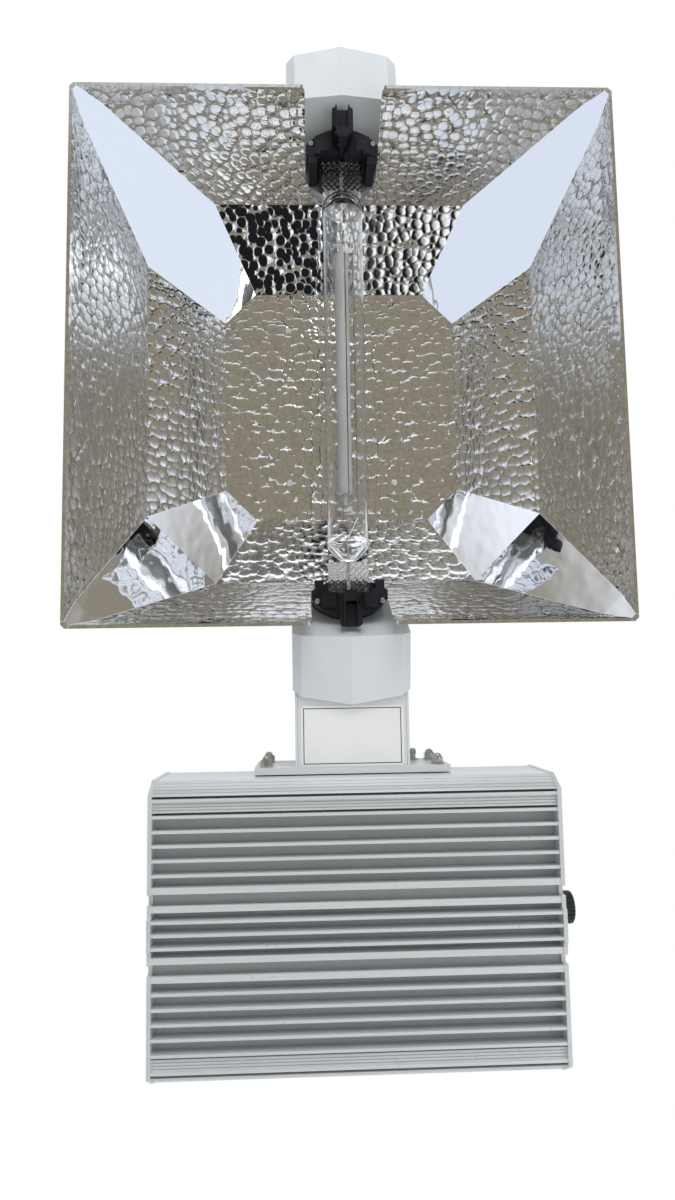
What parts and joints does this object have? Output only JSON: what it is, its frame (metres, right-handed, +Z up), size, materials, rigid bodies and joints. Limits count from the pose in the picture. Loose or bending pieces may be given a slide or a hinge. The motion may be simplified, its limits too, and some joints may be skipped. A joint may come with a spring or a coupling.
{
  "type": "grow lamp",
  "caption": "Hanging grow lamp: open square reflector, double-ended discharge lamp in lever-locked lampholders, hollow arm and finned ballast with a dimmer knob.",
  "frame": {"origin": "centre of the reflector's mouth, in the plane of its rim", "axes": "+Z up as it hangs, light leaves along -Z; +Y along the arm toward the ballast; +X toward the dimmer knob"},
  "size_m": [0.435, 0.8253, 0.1916],
  "materials": {
    "white_paint": "satin powder coat, pale grey-white",
    "hammered_aluminium": "bright sheet with a rolled pebble pattern",
    "mirror_aluminium": "smooth bright anodised sheet",
    "anodised": "clear anodised extrusion",
    "zinc_steel": "zinc plated",
    "black_moulding": "heat resistant black moulding",
    "black_plastic": "black",
    "quartz": "clear fused quartz",
    "ceramic": "white sintered ceramic",
    "molybdenum": "drawn wire",
    "brass_contact": "plated contact",
    "label": "white film, blank",
    "circuit_board": "green board",
    "iron_core": "varnished core and winding",
    "sleeve": "printed sleeve, blank",
    "lead_sleeve": "silicone sleeve"
  },
  "bodies": {
    "fixture": {"arc_end_tubes": "ceramic", "arc_tube": "ceramic", "arm_liner": "white_paint", "arm_shell": "white_paint", "ballast_board": "circuit_board", "ballast_end_plate_left": "anodised", "ballast_end_plate_right": "anodised", "ballast_hanger": "zinc_steel", "ballast_lower_case": "anodised", "ballast_upper_case": "anodised", "blank_label": "label", "controller_jacks": "black_plastic", "corner_mirror_far_left": "mirror_aluminium", "corner_mirror_far_right": "mirror_aluminium", "corner_mirror_near_left": "mirror_aluminium", "corner_mirror_near_right": "mirror_aluminium", "dimmer_switch": "black_plastic", "earth_lug": "zinc_steel", "end_plate_screws": "zinc_steel", "far_holder_base": "black_moulding", "far_holder_bracket": "zinc_steel", "far_holder_cover": "black_moulding", "far_housing": "white_paint", "far_lamp_contact": "brass_contact", "flange_bolts": "zinc_steel", "flange_plate": "white_paint", "hanger_bolts": "zinc_steel", "holder_screws": "zinc_steel", "lamp_envelope": "quartz", "lamp_frame": "molybdenum", "lamp_leads": "lead_sleeve", "lamp_pins": "molybdenum", "mains_inlet": "black_plastic", "near_holder_base": "black_moulding", "near_holder_bracket": "zinc_steel", "near_holder_cover": "black_moulding", "near_housing": "white_paint", "near_lamp_contact": "brass_contact", "neck_cover": "white_paint", "output_transformer": "iron_core", "power_choke": "iron_core", "reflector_centre_strip": "hammered_aluminium", "reflector_far_wall": "hammered_aluminium", "reflector_left_wall": "hammered_aluminium", "reflector_near_wall": "hammered_aluminium", "reflector_rail_left": "zinc_steel", "reflector_rail_right": "zinc_steel", "reflector_right_wall": "hammered_aluminium", "reflector_rivets": "anodised", "reflector_thumb_screws": "zinc_steel", "reflector_top_panel": "hammered_aluminium", "spine_hanger": "zinc_steel", "storage_capacitors": "sleeve", "terminal_block": "black_plastic"},
    "far_lever": {"far_lamp_lever": "black_moulding"},
    "near_lever": {"near_lamp_lever": "black_moulding"},
    "dimmer": {"dimmer_knob": "black_plastic", "dimmer_shaft": "zinc_steel"}
  },
  "joints": [
    {"name": "near_lever_turn", "type": "hinge", "parent": "fixture", "child": "near_lever", "pos_m": [0, 0.1965, 0.04], "axis": [0, 0, -1], "range_deg": [0, 90]},
    {"name": "far_lever_turn", "type": "hinge", "parent": "fixture", "child": "far_lever", "pos_m": [0, -0.1965, 0.04], "axis": [0, 0, -1], "range_deg": [0, 90]},
    {"name": "dimmer_turn", "type": "hinge", "parent": "fixture", "child": "dimmer", "pos_m": [0.15, 0.4395, 0.0551], "axis": [1, 0, 0], "range_deg": [-75, 75]}
  ]
}
